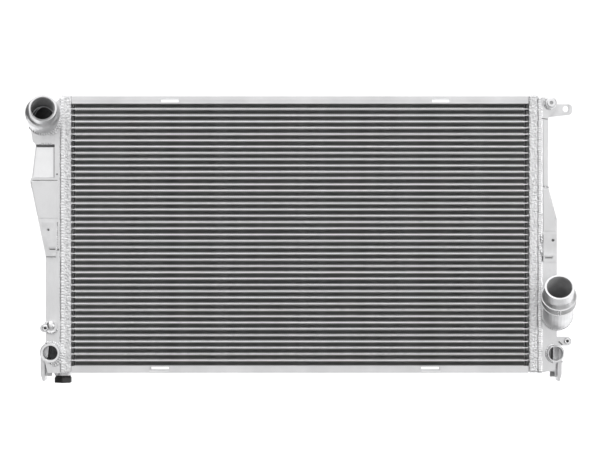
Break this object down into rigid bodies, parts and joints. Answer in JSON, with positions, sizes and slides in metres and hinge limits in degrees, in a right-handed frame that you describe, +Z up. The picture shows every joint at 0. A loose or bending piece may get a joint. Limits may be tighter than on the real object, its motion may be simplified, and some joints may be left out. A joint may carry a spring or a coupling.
{
  "type": "car radiator",
  "caption": "Welded aluminium cross-flow car radiator with flat tubes and fins between two side tanks, hose necks, feet, a tab and a screw-in drain plug.",
  "frame": {"origin": "middle of the bounding box", "axes": "+X along the tubes, towards the tank with the outlet neck; +Y from the engine side, where the hose necks point, to the air side; +Z up"},
  "size_m": [0.7153, 0.1195, 0.3784],
  "materials": {
    "tube_metal": "bare rolled aluminium, satin",
    "fin_metal": "thin bare foil, dark between the folds",
    "channel_metal": "bare sheet, satin",
    "header_metal": "bare sheet, dulled and textured by brazing",
    "tank_metal": "bare aluminium, satin, with weld beads",
    "neck_metal": "cast and machined, satin",
    "port_metal": "machined, satin",
    "bracket_metal": "bare sheet, satin",
    "black_plastic": "moulded, slightly glossy",
    "rubber": "dull black"
  },
  "bodies": {
    "radiator": {"tube_01": "tube_metal", "tube_02": "tube_metal", "tube_03": "tube_metal", "tube_04": "tube_metal", "tube_05": "tube_metal", "tube_06": "tube_metal", "tube_07": "tube_metal", "tube_08": "tube_metal", "tube_09": "tube_metal", "tube_10": "tube_metal", "tube_11": "tube_metal", "tube_12": "tube_metal", "tube_13": "tube_metal", "tube_14": "tube_metal", "tube_15": "tube_metal", "tube_16": "tube_metal", "tube_17": "tube_metal", "tube_18": "tube_metal", "tube_19": "tube_metal", "tube_20": "tube_metal", "tube_21": "tube_metal", "tube_22": "tube_metal", "tube_23": "tube_metal", "tube_24": "tube_metal", "tube_25": "tube_metal", "tube_26": "tube_metal", "tube_27": "tube_metal", "tube_28": "tube_metal", "tube_29": "tube_metal", "tube_30": "tube_metal", "tube_31": "tube_metal", "tube_32": "tube_metal", "tube_33": "tube_metal", "tube_34": "tube_metal", "tube_35": "tube_metal", "tube_36": "tube_metal", "tube_37": "tube_metal", "tube_38": "tube_metal", "tube_39": "tube_metal", "tube_40": "tube_metal", "tube_41": "tube_metal", "fin_pack": "fin_metal", "top_channel": "channel_metal", "bottom_channel": "channel_metal", "left_header": "header_metal", "right_header": "header_metal", "left_tank": "tank_metal", "right_tank": "tank_metal", "inlet_neck": "neck_metal", "outlet_neck": "neck_metal", "left_port": "port_metal", "right_port": "port_metal", "bleed_nipple": "port_metal", "mounting_tab": "bracket_metal", "left_foot": "bracket_metal", "right_foot": "bracket_metal", "left_shroud_clip": "bracket_metal", "right_shroud_clip": "bracket_metal"},
    "plug_washer": {"drain_seal": "rubber"},
    "plug": {"drain_plug": "black_plastic"}
  },
  "joints": [
    {"name": "drain_plug_travel", "type": "slide", "parent": "radiator", "child": "plug_washer", "axis": [0, 0, -1], "range_m": [0, 0.009]},
    {"name": "drain_plug_turn", "type": "hinge", "parent": "plug_washer", "child": "plug", "pos_m": [-0.3129, 0.0355, -0.1838], "axis": [0, 0, -1], "range_deg": [0, 2160]}
  ],
  "couplings": [
    {"joint": "drain_plug_turn", "follows": "drain_plug_travel", "rad_per_m": 4188.8}
  ]
}
